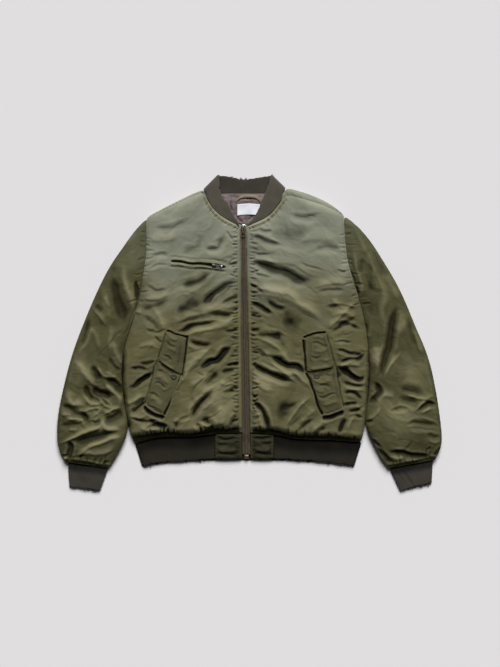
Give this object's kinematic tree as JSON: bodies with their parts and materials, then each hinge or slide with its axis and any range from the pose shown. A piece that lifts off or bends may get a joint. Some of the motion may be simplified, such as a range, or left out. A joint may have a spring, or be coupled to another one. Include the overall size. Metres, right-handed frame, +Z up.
{
  "type": "bomber jacket",
  "caption": "Padded satin-nylon bomber jacket laid flat on its back, zipped up, with rib-knit collar, cuffs and hem, flap hand pockets and a zipped chest pocket",
  "frame": {"origin": "on the ground under the middle of the laid-out jacket's box", "axes": "+X to the wearer's left, along the sleeves' spread; +Y to the neck; +Z up from the surface that it lies on, out of the fronts"},
  "size_m": [0.9622, 0.792, 0.0353],
  "materials": {
    "nylon": "satin, sage sheen at the shoulders turning to olive below",
    "sleeve_nylon": "satin, darker olive",
    "rib_knit": "matt charcoal-brown rib knit",
    "lining": "satin, dusty purple",
    "woven_label": "matt white weave, bare",
    "zip_tape": "matt taupe twill tape",
    "brass": "aged, dull",
    "gunmetal": "polished and darkened"
  },
  "bodies": {
    "jacket": {"back_panel": "nylon", "front_right": "nylon", "front_left": "nylon", "hem_block_right": "nylon", "hem_block_left": "nylon", "pocket_patch_right": "nylon", "pocket_patch_left": "nylon", "pocket_flap_right": "nylon", "pocket_flap_left": "nylon", "chest_lip_upper": "nylon", "chest_lip_lower": "nylon", "hanger_loop": "nylon", "sleeve_right_top": "sleeve_nylon", "sleeve_right_under": "sleeve_nylon", "sleeve_left_top": "sleeve_nylon", "sleeve_left_under": "sleeve_nylon", "collar_rib": "rib_knit", "hem_rib": "rib_knit", "cuff_right": "rib_knit", "cuff_left": "rib_knit", "neck_lining": "lining", "neck_label": "woven_label", "zip_tape_right": "zip_tape", "zip_tape_left": "zip_tape", "zip_chain": "brass", "chest_zip_chain": "brass", "zip_slider": "gunmetal", "chest_slider": "gunmetal", "zip_end_box": "gunmetal", "snap_right": "gunmetal", "snap_left": "gunmetal"},
    "main_pull": {"zip_pull": "gunmetal"},
    "pocket_pull": {"chest_pull": "gunmetal"}
  },
  "joints": [
    {"name": "main_pull_hinge", "type": "hinge", "parent": "jacket", "child": "main_pull", "pos_m": [-0.016, 0.262, 0.019], "axis": [-1, 0, 0], "range_deg": [0, 170]},
    {"name": "pocket_pull_hinge", "type": "hinge", "parent": "jacket", "child": "pocket_pull", "pos_m": [-0.088, 0.1669, 0.03193], "axis": [-0.1068, -0.9943, 0], "range_deg": [0, 170]}
  ]
}
